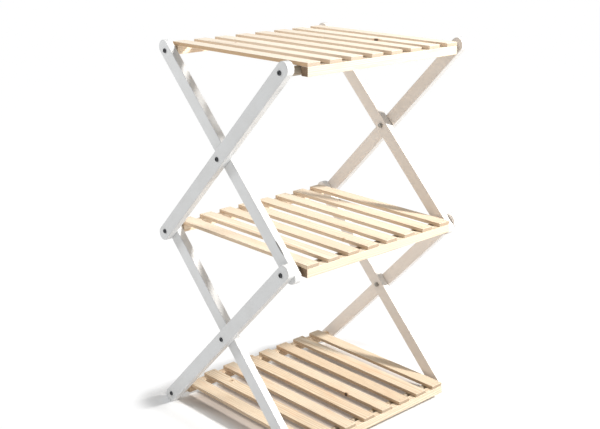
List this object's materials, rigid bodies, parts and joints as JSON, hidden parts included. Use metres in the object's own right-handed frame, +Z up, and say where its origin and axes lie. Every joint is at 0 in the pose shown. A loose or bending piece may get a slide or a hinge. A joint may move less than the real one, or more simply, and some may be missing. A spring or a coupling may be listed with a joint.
{
  "type": "folding three-tier shelf",
  "caption": "Folding slatted shelf: white scissor side frames carry natural wooden shelves that hook over round cross bars and lift for folding.",
  "frame": {"origin": "on the floor, in the middle of the footprint of the opened rack", "axes": "+Z up, X across the shelves, -Y to the front, where the shelves hook over their cross bars"},
  "size_m": [0.481, 0.3966, 0.7631],
  "materials": {
    "natural_pine": "natural unstained pine, sanded, thin clear coat",
    "white_paint": "white painted wood, satin",
    "black_steel": "black coated steel, semi-gloss"
  },
  "bodies": {
    "foot_bar": {"bottom_dowel": "natural_pine", "bottom_front_bolt_left": "black_steel", "bottom_front_bolt_right": "black_steel"},
    "lower_inner_legs": {"lower_inner_leg_left": "white_paint", "lower_inner_leg_right": "white_paint", "lower_crossing_bolt_left": "black_steel", "lower_crossing_bolt_right": "black_steel"},
    "lower_outer_legs": {"lower_outer_leg_left": "white_paint", "lower_outer_leg_right": "white_paint"},
    "upper_outer_legs": {"upper_outer_leg_left": "white_paint", "upper_outer_leg_right": "white_paint", "top_dowel": "natural_pine", "top_front_bolt_left": "black_steel", "top_front_bolt_right": "black_steel", "upper_crossing_bolt_left": "black_steel", "upper_crossing_bolt_right": "black_steel"},
    "upper_inner_legs": {"upper_inner_leg_left": "white_paint", "upper_inner_leg_right": "white_paint", "middle_dowel": "natural_pine", "middle_front_bolt_left": "black_steel", "middle_front_bolt_right": "black_steel"},
    "bottom_pins": {"bottom_rear_bolt_left": "black_steel", "bottom_rear_bolt_right": "black_steel", "bottom_spacer_left": "natural_pine", "bottom_spacer_right": "natural_pine"},
    "middle_pins": {"middle_rear_bolt_left": "black_steel", "middle_rear_bolt_right": "black_steel"},
    "top_pins": {"top_rear_bolt_left": "black_steel", "top_rear_bolt_right": "black_steel"},
    "bottom_shelf": {"bottom_front_rail": "natural_pine", "bottom_rear_rail": "natural_pine", "bottom_slat_1": "natural_pine", "bottom_slat_2": "natural_pine", "bottom_slat_3": "natural_pine", "bottom_slat_4": "natural_pine", "bottom_slat_5": "natural_pine", "bottom_slat_6": "natural_pine", "bottom_slat_7": "natural_pine", "bottom_slat_8": "natural_pine"},
    "middle_shelf": {"middle_front_rail": "natural_pine", "middle_rear_rail": "natural_pine", "middle_slat_1": "natural_pine", "middle_slat_2": "natural_pine", "middle_slat_3": "natural_pine", "middle_slat_4": "natural_pine", "middle_slat_5": "natural_pine", "middle_slat_6": "natural_pine", "middle_slat_7": "natural_pine", "middle_slat_8": "natural_pine"},
    "top_shelf": {"top_front_rail": "natural_pine", "top_rear_rail": "natural_pine", "top_slat_1": "natural_pine", "top_slat_2": "natural_pine", "top_slat_3": "natural_pine", "top_slat_4": "natural_pine", "top_slat_5": "natural_pine", "top_slat_6": "natural_pine", "top_slat_7": "natural_pine", "top_slat_8": "natural_pine"}
  },
  "joints": [
    {"name": "fold", "type": "hinge", "parent": "foot_bar", "child": "lower_inner_legs", "pos_m": [0, -0.1718, 0.02028], "axis": [1, 0, 0], "range_deg": [0, 40]},
    {"name": "lower_scissor", "type": "hinge", "parent": "lower_inner_legs", "child": "lower_outer_legs", "pos_m": [0, 0.0032, 0.20091], "axis": [1, 0, 0], "range_deg": [-80, 0]},
    {"name": "middle_rear_pivot", "type": "hinge", "parent": "lower_inner_legs", "child": "upper_outer_legs", "pos_m": [0, 0.1782, 0.38154], "axis": [1, 0, 0], "range_deg": [-80, 0]},
    {"name": "upper_scissor", "type": "hinge", "parent": "upper_outer_legs", "child": "upper_inner_legs", "pos_m": [0, 0.0032, 0.56217], "axis": [1, 0, 0], "range_deg": [0, 80]},
    {"name": "bottom_shelf_level", "type": "hinge", "parent": "lower_outer_legs", "child": "bottom_pins", "pos_m": [0, 0.1782, 0.02028], "axis": [1, 0, 0], "range_deg": [0, 40]},
    {"name": "middle_shelf_level", "type": "hinge", "parent": "lower_inner_legs", "child": "middle_pins", "pos_m": [0, 0.1782, 0.38154], "axis": [1, 0, 0], "range_deg": [-40, 0]},
    {"name": "top_shelf_level", "type": "hinge", "parent": "upper_inner_legs", "child": "top_pins", "pos_m": [0, 0.1782, 0.7428], "axis": [1, 0, 0], "range_deg": [-40, 0]},
    {"name": "bottom_shelf_lift", "type": "hinge", "parent": "bottom_pins", "child": "bottom_shelf", "pos_m": [0, 0.1782, 0.02028], "axis": [-1, 0, 0], "range_deg": [0, 75]},
    {"name": "middle_shelf_lift", "type": "hinge", "parent": "middle_pins", "child": "middle_shelf", "pos_m": [0, 0.1782, 0.38154], "axis": [-1, 0, 0], "range_deg": [0, 75]},
    {"name": "top_shelf_lift", "type": "hinge", "parent": "top_pins", "child": "top_shelf", "pos_m": [0, 0.1782, 0.7428], "axis": [-1, 0, 0], "range_deg": [0, 90]}
  ],
  "couplings": [
    {"joint": "lower_scissor", "follows": "fold", "ratio": -2},
    {"joint": "middle_rear_pivot", "follows": "fold", "ratio": -2},
    {"joint": "upper_scissor", "follows": "fold", "ratio": 2},
    {"joint": "bottom_shelf_level", "follows": "fold", "ratio": 1},
    {"joint": "middle_shelf_level", "follows": "fold", "ratio": -1},
    {"joint": "top_shelf_level", "follows": "fold", "ratio": -1}
  ]
}
